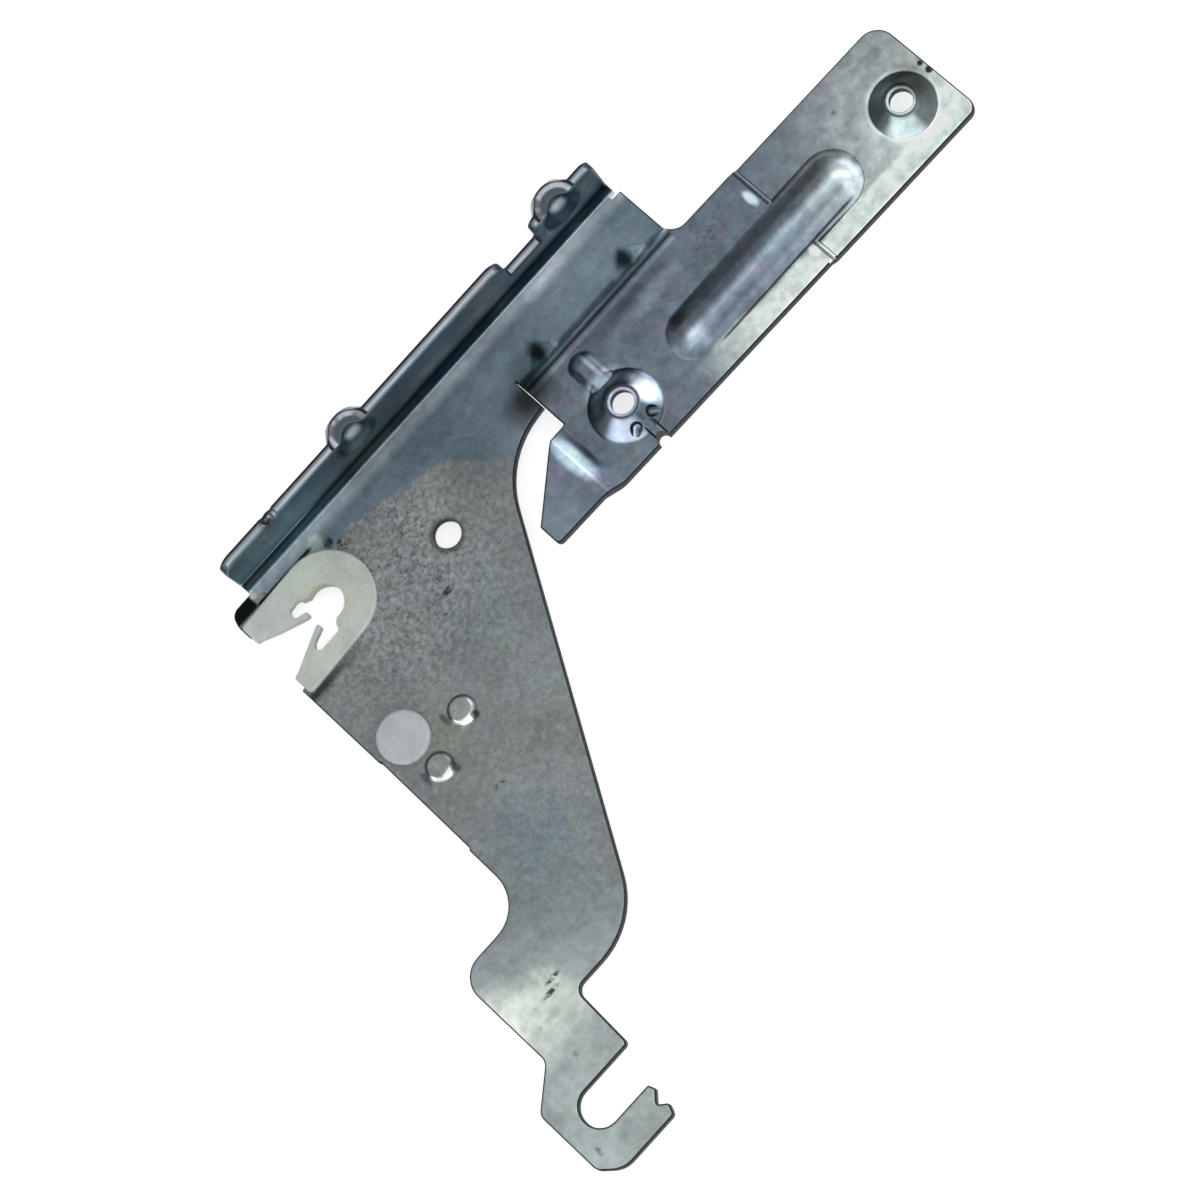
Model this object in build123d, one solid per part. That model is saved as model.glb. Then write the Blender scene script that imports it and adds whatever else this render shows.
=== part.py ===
from build123d import *

import os
from math import atan2, degrees, hypot

# Dishwasher door hinge: one pressed and folded sheet-steel arm with a nylon pivot bearing and a nylon plug.
# Millimetres. The origin is the centre of the pivot seat, at the height of the arm's back face.
# +X runs along the screw flange, +Y points out of the flange and +Z is the side that the flange rises to.

os.makedirs("parts", exist_ok=True)

# Steel sheet
sheet = 2.2
bend_inside = 1.5
bend_outside = bend_inside + sheet
joggle_inside = 0.8
joggle_outside = joggle_inside + sheet
edge_break = 0.3

# Pivot seat, and the bearing that is snapped into the sheet's open slot
pivot_r = 4.0
bearing_r = 10.3
bearing_offset = 0.7
bearing_lift = 0.25
bearing_turn = 2.6
bearing_end_x = -15.5
bearing_top_z = 3.4
rim_overlap = 2.2
lower_rim = 1.0
bearing_wall = 1.7
seat_bottom_z = -0.2
finger_depth = 2.0
pocket_start = 3.2
bearing_edge = 0.35
mouth_corner_r = 0.9
slot_clearance = 0.05

# Left side of the arm, from the leg beside the bearing down to the elbow
leg_top_y = 13.8
leg_corner = 3.0
leg_inset = 0.5
leg_r = 2.4
arm_edge_x = -16.35
jog_y = -31.0
jog = 0.3
edge_nick_y = -57.0
edge_nick = 0.4
elbow_x = -16.9
elbow_y = -73.4
elbow_r = 8.5

# Forearm between the elbow and the spring hook
forearm_x = -36.6
forearm_r = 5.5
forearm_end_y = -97.9
shoulder_x = -22.3
shoulder_y = -92.7
shoulder_r = 2.2
heel_x = -4.6
heel_r = 18.0
neck_x = 45.8
neck_y = -7.2
neck_r = 21.0
throat_y = -6.0

# Spring hook
hook_x = -45.1
hook_top_y = -104.4
hook_chamfer = 3.9
hook_r = 2.5
hook_heel_r = 5.5
hook_slot_width = 8.6
hook_slot_y = -112.0
hook_slot_bottom_x = -39.8
prong_tip_x = -26.2
prong_width = 7.8
catch_reach = 3.9
catch_depth = 1.6
catch_r = 0.6

# Screw flange
flange_face_y = 17.7
flange_height = 16.0
flange_low_height = 8.5
flange_start_x = -9.3
flange_end_x = 101.1
cutout_start_x = 74.0
cutout_end_x = 83.4
flange_corner_r = 3.5
ear_corner_r = 2.5
cutout_r = 1.0
relief_depth = 1.4
relief_width = 1.2
flange_nick_x = (4.3, 6.5)
flange_nick_r = 0.7
flange_nick_rise = 0.3

# Screw bosses: a cone pressed up from the sheet with a flat lip round its hole
screw_hole_r = 2.5
boss_lip_r = 3.65
boss_edge_r = 1.2
boss_root = 0.4
boss_wall = 1.4
flange_boss_r = 6.2
flange_boss_rise = 3.2
flange_boss_drop = 3.8
flange_boss_x = (29.0, 90.7)
low_boss_x = 69.9
low_boss_inset = 10.8
low_boss_r = 8.0
low_boss_rise = 3.4
end_boss_x = 152.0
end_boss_inset = 11.85
end_boss_r = 7.1
end_boss_rise = 3.0

# Raised bracket and its joggles
bracket_z = 3.0
bracket_end_drop = 1.0
bracket_start_x = 58.9
bracket_end_x = 161.5
bracket_top_y = -3.2
bracket_width = 28.45
bracket_slope = 0.018
bracket_corner_r = 4.5
bracket_foot_r = 2.5
web_end_x = 102.0
web_end_r = 3.5
step_start_y = 2.0
step_foot_y = -0.3
step_run = 2.0
step_flat = 1.6
drop_x = 119.0
drop_run = 0.9
drop_inside = 0.2
slit_width = 0.15

# Tab at the bracket's inner end
tab_rise = 3.6
tab_bend_x = 53.4
tab_run = 4.2
tab_tip_x = 40.3
tab_tip_width = 5.3
tab_root_width = 16.5
inner_end_width = 18.0
tab_r = 1.1

# Bead along the bracket
bead_r = 9.3
bead_crest_z = 7.2
bead_start_x = 90.0
bead_stop_x = 130.9
bead_inset = 11.5
bead_wall = 2.0

# Gussets across the step, the rib beside the low boss and the crease below it
gusset_x = (67.0, 92.7)
gusset_half = 5.2
gusset_reach = 4.3
gusset_sink = 0.9
gusset_crown = 0.7
rib_r = 4.2
rib_rise = 1.6
rib_x = 70.2
rib_start_y = -8.0
crease_r = 1.4
crease_rise = 1.9
crease_shift = 0.4
crease_end_gap = 0.5
notch_r = 1.3
notch_inset = 0.2
dent_r = 1.3
dent_rise = 0.5
dent_spread = 2.3
dent_reach = 5.3
dent_length = 0.9

# Round features of the arm
eyelet_at = (26.8, -9.1)
eyelet_r = 3.0
pip_at = ((2.8, -36.6), (-8.5, -41.2))
pip_r = 3.2
pip_top_r = 2.5
pip_rise = 0.7

# Nylon plug
plug_at = (-9.2, -31.5)
plug_head_r = 5.6
plug_head_height = 1.7
plug_stem_r = 3.4
plug_clearance = 0.1
plug_lip_r = 4.2
plug_lip_taper = 0.6
plug_length = 1.5
plug_split = 1.2
plug_edge = 0.5

# Directions and heights that follow from the sizes above
flange_bend_y = flange_face_y - bend_outside
flange_boss_z = flange_height - flange_boss_drop
step_top_y = step_foot_y - step_run
step_join_y = step_top_y - step_flat
step_end_x = web_end_x + web_end_r
bracket_top = bracket_z + sheet
bracket_end_z = bracket_z - bracket_end_drop
tab_z = bracket_z + tab_rise
core_r = bearing_r - rim_overlap
slot_r = core_r + slot_clearance
beyond = 2 * bracket_end_x
on_base = (Align.CENTER, Align.CENTER, Align.MIN)


def plate_outline(corners):
    """Face bounded by straight runs and arcs, from corners given as (x, y, radius)."""
    points = [(x, y) for x, y, _ in corners]
    radii = [radius for _, _, radius in corners]
    with BuildSketch() as sketch:
        with BuildLine():
            FilletPolyline(*points, radius=radii, close=True)
        make_face()
    return sketch.sketch


def folded_strip(plane, points, radii, width):
    """Even sheet whose underside follows the given line, as wide as asked along the plane's normal."""
    with BuildSketch(plane) as section:
        with BuildLine():
            FilletPolyline(*points, radius=radii)
            offset(amount=sheet, side=Side.LEFT)
        make_face()
    return extrude(section.sketch, amount=width)


def prism(face, low, high):
    """Solid over a face in the XY plane, from one height to another."""
    return Pos(0, 0, low) * extrude(face, amount=high - low)


def box_between(low, high):
    """Box from its lowest to its highest corner."""
    size = [high[i] - low[i] for i in range(3)]
    return Pos(*low) * Box(*size, align=(Align.MIN, Align.MIN, Align.MIN))


def break_edges(body, is_punched, is_cut):
    """Body with the small bevel that punching leaves where its punched faces meet its cut faces."""
    faces = [(face, face.normal_at(), face.center()) for face in body.faces()]
    punched = [edge for face, normal, at in faces if is_punched(normal, at) for edge in face.edges()]
    cut = [edge for face, normal, at in faces if is_cut(normal, at) for edge in face.edges()]
    return chamfer([edge for edge in punched if any(edge.is_same(other) for other in cut)], edge_break)


def bracket_edge_y(x):
    """The bracket's upper edge, which falls away slightly from the flange's direction."""
    return bracket_top_y - bracket_slope * (x - web_end_x)


def bracket_low_y(x):
    """The bracket's lower edge."""
    return bracket_edge_y(x) - bracket_width


def seat_slot(radius):
    """U-shaped face that runs from the seat's round end out past the arm's left edge."""
    lane = Pos(-beyond / 2, 0) * Rectangle(beyond, 2 * radius)
    return Rot(Z=bearing_turn) * Pos(bearing_offset, bearing_lift) * (Circle(radius) + lane)


def arm_outline():
    """Plan of the web, the arm and the spring hook, as far as the flange's bend and the bracket's step."""
    slot_high = hook_slot_y + hook_slot_width / 2
    slot_low = hook_slot_y - hook_slot_width / 2
    slot_bottom_r = hook_slot_width / 2 - 2 * slot_clearance
    hook_low_y = slot_low - prong_width
    throat_x = bracket_start_x - slit_width
    leg_x = arm_edge_x + leg_inset
    return plate_outline([
        (flange_start_x, flange_bend_y, 0),
        (flange_start_x, leg_top_y, 0),
        (leg_x + leg_corner / 3, leg_top_y, leg_r),
        (leg_x, leg_top_y - leg_corner, leg_r),
        (leg_x, 0, 0),
        (arm_edge_x, 0, 0),
        (arm_edge_x, jog_y, 0),
        (arm_edge_x + jog, jog_y - jog, 0),
        (arm_edge_x, edge_nick_y, 0),
        (arm_edge_x - edge_nick, edge_nick_y - edge_nick, 0),
        (elbow_x, elbow_y, elbow_r),
        (forearm_x, elbow_y, forearm_r),
        (forearm_x, forearm_end_y, hook_r),
        (hook_x, hook_top_y, hook_r),
        (hook_x, hook_low_y + hook_chamfer, hook_r),
        (hook_x + hook_chamfer, hook_low_y, hook_heel_r),
        (prong_tip_x - catch_r, hook_low_y, 2 * catch_r),
        (prong_tip_x + catch_r / 2, slot_low - catch_reach - catch_depth, catch_r),
        (prong_tip_x - catch_depth, slot_low - catch_reach, catch_r),
        (prong_tip_x + catch_r, slot_low - catch_depth, catch_r),
        (prong_tip_x, slot_low, catch_r / 2),
        (hook_slot_bottom_x, slot_low, slot_bottom_r),
        (hook_slot_bottom_x, slot_high, slot_bottom_r),
        (shoulder_x - catch_r, slot_high, shoulder_r / 2),
        (shoulder_x, shoulder_y, shoulder_r),
        (heel_x, shoulder_y, heel_r),
        (neck_x, neck_y, neck_r),
        (throat_x, throat_y, 0),
        (throat_x, step_start_y, 0),
        (web_end_x, step_start_y, 0),
        (web_end_x, flange_bend_y, 0),
    ])


def is_free_edge(edge):
    """Whether an edge of the flat plate is cut in the air, and not where the flange or the step goes on."""
    middle = edge.center()
    beside_flange = middle.Y > flange_bend_y - edge_break
    beside_step = middle.X > neck_x + neck_r / 3 and middle.Y < step_start_y + edge_break
    return not beside_flange and not beside_step


def arm_plate():
    """Flat web and arm, with the bearing's slot, the plain hole, the plug's hole and two closed pips."""
    plate = prism(arm_outline(), 0, sheet)
    plate = chamfer(plate.faces().sort_by(Axis.Z)[-1].edges().filter_by(is_free_edge), edge_break)
    plate = plate - prism(seat_slot(slot_r), -sheet, 2 * sheet)
    plate = plate - Pos(*eyelet_at) * Cylinder(eyelet_r, 4 * sheet)
    plate = plate - Pos(*plug_at) * Cylinder(plug_stem_r + plug_clearance, 4 * sheet)
    for at in pip_at:
        plate = plate + Pos(*at, sheet) * Cone(pip_r, pip_top_r, pip_rise, align=on_base)
        plate = plate - Pos(*at) * Cylinder(pip_top_r, pip_rise, align=on_base)
    return plate


def screw_boss(base_r, rise):
    """Outer form, inner form and hole of a boss whose sheet's outer face lies on z = 0."""
    slope = (base_r - boss_lip_r) / rise
    cone = Cone(base_r + slope * boss_root, boss_lip_r, rise + boss_root, align=on_base)
    outer = fillet(cone.edges().sort_by(Axis.Z)[-1:], boss_edge_r)
    hollow_r = base_r + slope * boss_root - boss_wall
    hollow = Cone(hollow_r, boss_lip_r - boss_wall / 2, rise + boss_root, align=on_base)
    hole = Cylinder(screw_hole_r, 4 * (rise + sheet))
    return Pos(0, 0, -boss_root) * outer, Pos(0, 0, -boss_root - sheet) * hollow, hole


def with_boss(body, place, base_r, rise, keep=None):
    """Body with a screw boss pressed out of it, as far as the outline to keep reaches."""
    outer, inner, hole = (place * form for form in screw_boss(base_r, rise))
    if keep is not None:
        outer = outer & keep
    return body + outer - inner - hole


def screw_flange():
    """Flange along the web's upper edge, with its cut-out, ear and two screw bosses."""
    line = [(flange_bend_y - boss_root, 0), (flange_face_y, 0), (flange_face_y, flange_height + sheet)]
    length = flange_end_x - flange_start_x
    strip = Pos(flange_start_x, 0, 0) * folded_strip(Plane.YZ, line, [bend_outside], length)
    side = Plane.XZ * plate_outline([
        (flange_start_x, -sheet, 0),
        (flange_start_x, flange_height, flange_corner_r),
        (cutout_start_x, flange_height, flange_corner_r),
        (cutout_start_x, flange_low_height, cutout_r),
        (cutout_end_x, flange_low_height, cutout_r),
        (cutout_end_x, flange_height, ear_corner_r),
        (flange_end_x, flange_height, ear_corner_r),
        (flange_end_x, -sheet, 0),
    ])
    keep = Pos(0, 2 * flange_face_y, 0) * extrude(side, amount=2 * flange_face_y)
    strip = break_edges(
        strip & keep,
        lambda normal, at: normal.Y < -0.5,
        lambda normal, at: abs(normal.Y) < 0.01 and at.Z > bend_outside,
    )
    for x in flange_nick_x:
        nick = Pos(x, flange_face_y, flange_height + flange_nick_rise) * Rot(X=90)
        strip = strip - nick * Cylinder(flange_nick_r, 3 * sheet)
    for x in flange_boss_x:
        place = Pos(x, flange_face_y, flange_boss_z) * Rot(X=-90)
        strip = with_boss(strip, place, flange_boss_r, flange_boss_rise, keep)
    return strip


def bracket_outline():
    """Plan of the bracket with its step and tab."""
    return plate_outline([
        (bracket_start_x, step_start_y, 0),
        (web_end_x, step_start_y, 0),
        (web_end_x, bracket_top_y, web_end_r),
        (bracket_end_x, bracket_edge_y(bracket_end_x), bracket_corner_r),
        (bracket_end_x, bracket_low_y(bracket_end_x), bracket_foot_r),
        (tab_tip_x, bracket_low_y(tab_tip_x), tab_r),
        (tab_tip_x, bracket_low_y(tab_tip_x) + tab_tip_width, tab_r / 2),
        (tab_bend_x + tab_r, bracket_low_y(tab_bend_x) + tab_root_width, 2 * tab_r),
        (bracket_start_x, bracket_low_y(bracket_start_x) + inner_end_width, 0),
    ])


def bracket():
    """Raised bracket: the step up from the web, the long strip with its drop, and the inner tab."""
    plan = prism(bracket_outline(), -sheet, tab_z + 3 * sheet)
    step_line = [
        (step_join_y - sheet, bracket_z),
        (step_top_y, bracket_z),
        (step_foot_y, 0),
        (step_start_y + sheet, 0),
    ]
    step = folded_strip(Plane.YZ, step_line, [joggle_inside, joggle_outside], step_end_x - bracket_start_x)
    step = Pos(bracket_start_x, 0, 0) * step
    step = step & box_between((0, step_join_y, -sheet), (step_end_x, step_start_y, tab_z + sheet))
    strip_line = [
        (tab_tip_x - sheet, tab_z),
        (tab_bend_x, tab_z),
        (tab_bend_x + tab_run, bracket_z),
        (drop_x - drop_run / 2, bracket_z),
        (drop_x + drop_run / 2, bracket_end_z),
        (bracket_end_x + sheet, bracket_end_z),
    ]
    strip_radii = [joggle_inside, joggle_outside, drop_inside, drop_inside + sheet]
    strip = folded_strip(Plane.XZ, strip_line, strip_radii, beyond)
    strip = strip - box_between((0, step_join_y, -sheet), (step_end_x, step_start_y, tab_z + 3 * sheet))
    return break_edges(
        plan & (step + strip),
        lambda normal, at: normal.Z > 0.3,
        lambda normal, at: abs(normal.Z) < 0.01 and at.Y < -0.01 and abs(at.X - step_end_x) > 0.1,
    )


def capsule(radius, first, last):
    """Round bar with ball ends between two points."""
    length = hypot(last[0] - first[0], last[1] - first[1])
    turn = degrees(atan2(last[1] - first[1], last[0] - first[0]))
    bar = Cylinder(radius, length, rotation=(0, 90, 0), align=on_base)
    bar = bar + Sphere(radius) + Pos(length, 0, 0) * Sphere(radius)
    return Pos(*first) * Rot(Z=turn) * bar


def gusset(x, drop):
    """Three-sided fill of the step's inner corner, standing on the web."""
    foot_y = step_foot_y + gusset_sink
    apex = (x, foot_y + gusset_reach, sheet - drop)
    left = (x - gusset_half, foot_y, sheet - drop)
    right = (x + gusset_half, foot_y, sheet - drop)
    crown = (x, foot_y - 2 * gusset_crown, bracket_top - gusset_crown - drop)
    loops = ((apex, left, right), (apex, crown, left), (apex, right, crown), (left, crown, right))
    return Solid(Shell([Face(Wire.make_polygon([Vector(*p) for p in loop], close=True)) for loop in loops]))


def raised_forms(body):
    """Bead, rib, gussets, crease and bosses pressed up from the bracket."""
    above = box_between((0, -beyond, bracket_end_z + sheet / 2), (beyond, beyond, beyond))
    bead_y = bracket_low_y((bead_start_x + bead_stop_x) / 2) + bead_inset
    bead_ends = [(x, bead_y, bead_crest_z - bead_r) for x in (bead_start_x, bead_stop_x)]
    body = body + (capsule(bead_r, *bead_ends) & above) - capsule(bead_r - bead_wall, *bead_ends)

    low_edge_y = bracket_low_y(low_boss_x)
    low_boss_y = low_edge_y + low_boss_inset
    rib_z = bracket_top + rib_rise - rib_r
    rib_ends = [(rib_x, rib_start_y, rib_z), (rib_x, low_boss_y, rib_z)]
    body = body + (capsule(rib_r, *rib_ends) & above) - capsule(rib_r - bead_wall, *rib_ends)

    for x in gusset_x:
        body = body + gusset(x, 0) - gusset(x, sheet)

    crease_x = low_boss_x + crease_shift
    crease = Pos(crease_x, low_boss_y, bracket_top + crease_rise - crease_r) * Rot(X=90)
    crease = crease * Cylinder(crease_r, low_boss_inset - crease_end_gap, align=on_base)
    body = body + (crease & above)

    body = with_boss(body, Pos(low_boss_x, low_boss_y, bracket_top), low_boss_r, low_boss_rise)
    end_boss_y = bracket_low_y(end_boss_x) + end_boss_inset
    body = with_boss(body, Pos(end_boss_x, end_boss_y, bracket_end_z + sheet), end_boss_r, end_boss_rise)
    dent_z = bracket_top + dent_rise + dent_r
    for side in (-1, 1):
        inner = (crease_x + side * dent_spread, low_boss_y - dent_reach, dent_z)
        outer = (inner[0] + side * dent_length, inner[1] - dent_length, dent_z)
        body = body - capsule(dent_r, inner, outer)
    return body - Pos(low_boss_x, low_edge_y + notch_inset, bracket_z) * Cylinder(notch_r, 6 * sheet)


def hinge_arm():
    """The whole pressed sheet."""
    body = arm_plate() + screw_flange() + bracket()
    relief_low = (flange_end_x - relief_depth, flange_bend_y - relief_width, -sheet)
    body = body - box_between(relief_low, (beyond, flange_bend_y, 2 * sheet))
    return raised_forms(body)


def bearing_mouth():
    """Opening between the bearing's legs: a funnel, two springy fingers and the slots behind them."""
    return plate_outline([
        (-20.0, 7.6, 0),
        (-14.6, 5.0, 2.0),
        (-11.2, 3.3, 4.0),
        (-5.2, 0.8, 0.3),
        (-4.2, 0.6, 0.4),
        (-3.9, 1.6, 0.4),
        (-6.2, 2.3, 0.3),
        (-6.9, 3.2, 0.4),
        (-6.4, 4.6, 0.5),
        (-4.0, 4.9, 1.0),
        (-2.1, 3.9, 0.5),
        (-1.0, 3.4, 0),
        (0.0, 0.0, 0),
        (-0.3, -3.6, 0),
        (-1.7, -4.8, 0.4),
        (-2.2, -6.2, 0.8),
        (-7.6, -6.2, 0.6),
        (-8.5, -5.0, 0.4),
        (-7.4, -3.9, 0.5),
        (-4.3, -2.9, 0.4),
        (-4.1, -1.8, 0.4),
        (-5.1, -2.0, 0.4),
        (-14.2, -5.8, 1.5),
        (-20.0, -7.2, 0),
    ])


def pivot_bearing():
    """U-shaped bearing that grips the slot's edge, with two springy fingers that hold the pivot stud."""
    inside_arm = Pos(bearing_end_x + beyond / 2, 0) * Rectangle(beyond, beyond)
    rim = seat_slot(bearing_r) & inside_arm
    core = seat_slot(core_r) & inside_arm
    rim = fillet(rim.vertices().group_by(Axis.X)[0], mouth_corner_r)
    body = prism(rim, sheet, bearing_top_z)
    body = chamfer(body.faces().sort_by(Axis.Z)[-1].edges(), bearing_edge)
    body = body + prism(core, 0, sheet) + prism(rim, -lower_rim, 0)
    body = body - prism(seat_slot(core_r - bearing_wall), -2 * lower_rim, seat_bottom_z)
    under_fingers = box_between((-beyond, -beyond, -beyond), (-pocket_start, beyond, bearing_top_z - finger_depth))
    body = body - (prism(seat_slot(core_r - bearing_wall), -2 * lower_rim, sheet) & under_fingers)
    body = body - prism(bearing_mouth(), -2 * lower_rim, 2 * bearing_top_z)
    return body - Cylinder(pivot_r, 8 * sheet)


def buffer_plug():
    """Push-in nylon button: flat round head, split stem and a lip behind the sheet."""
    head = Pos(0, 0, sheet) * Cylinder(plug_head_r, plug_head_height, align=on_base)
    head = chamfer(head.edges().sort_by(Axis.Z)[-1:], plug_edge)
    stem = Cylinder(plug_stem_r, sheet, align=on_base)
    lip = Pos(0, 0, -plug_length) * Cone(plug_lip_r - plug_lip_taper, plug_lip_r, plug_length, align=on_base)
    split = box_between((-plug_head_r, -plug_split / 2, -2 * plug_length), (plug_head_r, plug_split / 2, sheet))
    return Pos(*plug_at) * (head + (stem + lip - split))


def save(shape, node):
    """Write one sub-part under its node name."""
    shape.label = node
    export_step(shape, f"parts/{node}.step")


save(hinge_arm(), "hinge_arm")
save(pivot_bearing(), "pivot_bearing")
save(buffer_plug(), "buffer_plug")
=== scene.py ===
"""Dishwasher door hinge: finishes of the pressed steel arm, with painted light and shade in its colours, and
of its nylon parts, on a pale studio floor.
"""

import math

import bpy
from bpy.props import FloatProperty, FloatVectorProperty, PointerProperty
from bpy.types import Operator, Panel, PropertyGroup
from mathutils import Color, Matrix, Vector


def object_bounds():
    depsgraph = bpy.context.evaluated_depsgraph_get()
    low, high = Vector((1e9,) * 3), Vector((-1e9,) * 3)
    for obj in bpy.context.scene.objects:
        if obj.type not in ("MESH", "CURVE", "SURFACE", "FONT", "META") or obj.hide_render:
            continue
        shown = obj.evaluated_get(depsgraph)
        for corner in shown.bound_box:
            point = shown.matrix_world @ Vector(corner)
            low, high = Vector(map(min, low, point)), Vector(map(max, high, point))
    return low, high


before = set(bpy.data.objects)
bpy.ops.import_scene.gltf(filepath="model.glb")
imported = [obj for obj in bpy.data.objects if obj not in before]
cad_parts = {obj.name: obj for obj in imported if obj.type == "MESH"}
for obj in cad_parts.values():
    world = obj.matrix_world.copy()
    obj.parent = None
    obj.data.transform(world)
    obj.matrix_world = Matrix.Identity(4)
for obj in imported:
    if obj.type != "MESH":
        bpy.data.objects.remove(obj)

bl_info = {
    "name": "Dishwasher Door Hinge",
    "version": (1, 0, 0),
    "blender": (4, 5, 0),
    "location": "View3D > Sidebar > Door Hinge",
    "description": "Finishes a pressed steel door hinge and its nylon parts, and sets up its studio",
    "category": "Object",
}

CAD_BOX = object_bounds()
MM = 0.001
WHITE = (1.0, 1.0, 1.0)
VECTOR, FLOAT = "NodeSocketVector", "NodeSocketFloat"


def colour_property(name, description, default):
    """A colour, given as linear red, green and blue."""
    return FloatVectorProperty(
        name=name, description=description, default=default, size=3, min=0.0, max=1.0, subtype="COLOR"
    )


def amount_property(name, description, default):
    """A plain amount from 0 to 1."""
    return FloatProperty(
        name=name, description=description, default=default, min=0.0, max=1.0, subtype="FACTOR"
    )


def number_property(name, description, default, unit="NONE"):
    """A number that isn't negative."""
    return FloatProperty(name=name, description=description, default=default, min=0.0, unit=unit)


def angle_property(name, description, degrees):
    """An angle, given in degrees and kept in radians."""
    return FloatProperty(name=name, description=description, default=math.radians(degrees), subtype="ANGLE")


class SteelFinish(PropertyGroup):
    """Colours, wear and painted light and shade of the zinc-plated sheet."""

    web_colour: colour_property("Web", "Blue-grey plating beside the screw flange", (0.162, 0.222, 0.266))
    arm_colour: colour_property("Arm", "Grey plating of the long arm", (0.250, 0.310, 0.340))
    bracket_colour: colour_property("Bracket", "Blue-grey plating of the bracket", (0.176, 0.224, 0.276))
    end_boss_colour: colour_property("End boss", "Grey-green plating of the far boss", (0.185, 0.235, 0.235))
    # painted highlight on the bracket's lower strip, far part and end; the scratches share this colour
    highlight_and_scratch_colour: colour_property("Strip", "Pale plating by the bracket's lower edge", (0.860, 0.970, 0.920))
    # painted highlight along the flange's bend
    bend_highlight_colour: colour_property("Root", "Pale band along the flange's bend", (0.780, 0.860, 0.930))
    # painted shade on the flange's inner face and in its boss hollows
    flange_shade_colour: colour_property("Flange", "Dark inner face of the flange", (0.014, 0.040, 0.062))
    # painted reflection: lighter inner face near the bearing and towards the top
    flange_reflection_colour: colour_property("Flange end", "Flange face by the bearing", (0.070, 0.150, 0.180))
    # painted light: the hook paler where more light falls
    hook_highlight_colour: colour_property("Hook", "Paler plating of the spring hook", (0.380, 0.440, 0.435))
    # painted highlight: pale band where the arm turns
    pale_highlight_colour: colour_property("Pale band", "Greenish plating where the arm turns", (0.860, 0.960, 0.850))
    tint_colour: colour_property("Tint", "Faint lilac patches in the plating", (0.230, 0.200, 0.270))
    green_colour: colour_property("Green", "Faint green streaks in the plating", (0.230, 0.290, 0.230))
    stain_colour: colour_property("Spray", "Grey film of spray round the bearing", (0.205, 0.225, 0.222))
    grease_colour: colour_property("Grease", "Yellowish smears of old grease", (0.230, 0.270, 0.170))
    rim_colour: colour_property("Flange rim", "Punched rim of the screw flange", (0.170, 0.200, 0.240))
    # painted highlight on the punched rim, the lips of its bosses and the glints in their hollows
    rim_highlight_colour: colour_property("Rim shine", "Brightest part of the punched rim", (0.700, 0.740, 0.800))
    # painted shade inside the flange's bosses
    hollow_shade_colour: colour_property("Boss hollow", "Inside of the flange's bosses", (0.100, 0.130, 0.160))
    # painted shade on the punched edges and steep faces, also the outlines of the flange's top and bosses
    edge_shade_colour: colour_property("Cut edge", "Dark bare steel of the punched edges", (0.030, 0.035, 0.040))
    # dark specks and grime, and painted shadow along the bearing's edges
    dirt_and_shadow_colour: colour_property("Dirt", "Dark specks and grime", (0.012, 0.014, 0.012))
    plating_roughness: amount_property("Plating roughness", "Roughness of the clean plating", 0.30)
    film_roughness: amount_property("Film roughness", "Roughness of the dried spray", 0.50)
    scratch_amount: amount_property("Scratches", "How strongly the fine scratches show", 0.07)


class NylonFinish(PropertyGroup):
    """Colours of the moulded nylon parts."""

    bearing_colour: colour_property("Bearing", "Greenish white nylon bearing", (0.455, 0.508, 0.462))
    lilac_colour: colour_property("Bearing end", "Lilac tint at its upper end", (0.500, 0.510, 0.525))
    grease_colour: colour_property("Grease", "Yellowish grease film", (0.420, 0.420, 0.270))
    speck_colour: colour_property("Specks", "Specks of dirt on the nylon", (0.250, 0.250, 0.200))
    plug_colour: colour_property("Plug", "Light grey-white nylon of the plug", (0.415, 0.440, 0.468))
    nylon_roughness: amount_property("Nylon roughness", "Roughness of the moulded surface", 0.48)


class StudioSetup(PropertyGroup):
    """Floor, lamps and camera."""

    floor_colour: colour_property("Floor", "Pale studio floor", (0.50, 0.50, 0.50))
    fill: number_property("Fill", "Brightness of the even fill", 0.55)
    overhead: number_property("Overhead", "Brightness of the overhead soft box", 1.1)
    surround: number_property("Surround", "Brightness of the low ring of light", 1.3)
    key_power: number_property("Key", "Power of the soft key lamp", 1.5, "POWER")
    camera_tilt: angle_property("Tilt", "Angle between the view and straight down", 18.0)
    camera_turn: angle_property("Turn", "Turn of the part in the picture", 47.9)
    camera_distance: number_property("Distance", "From the camera to its target", 0.9, "LENGTH")
    camera_lens: number_property("Lens", "Focal length", 135.0, "CAMERA")


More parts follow.
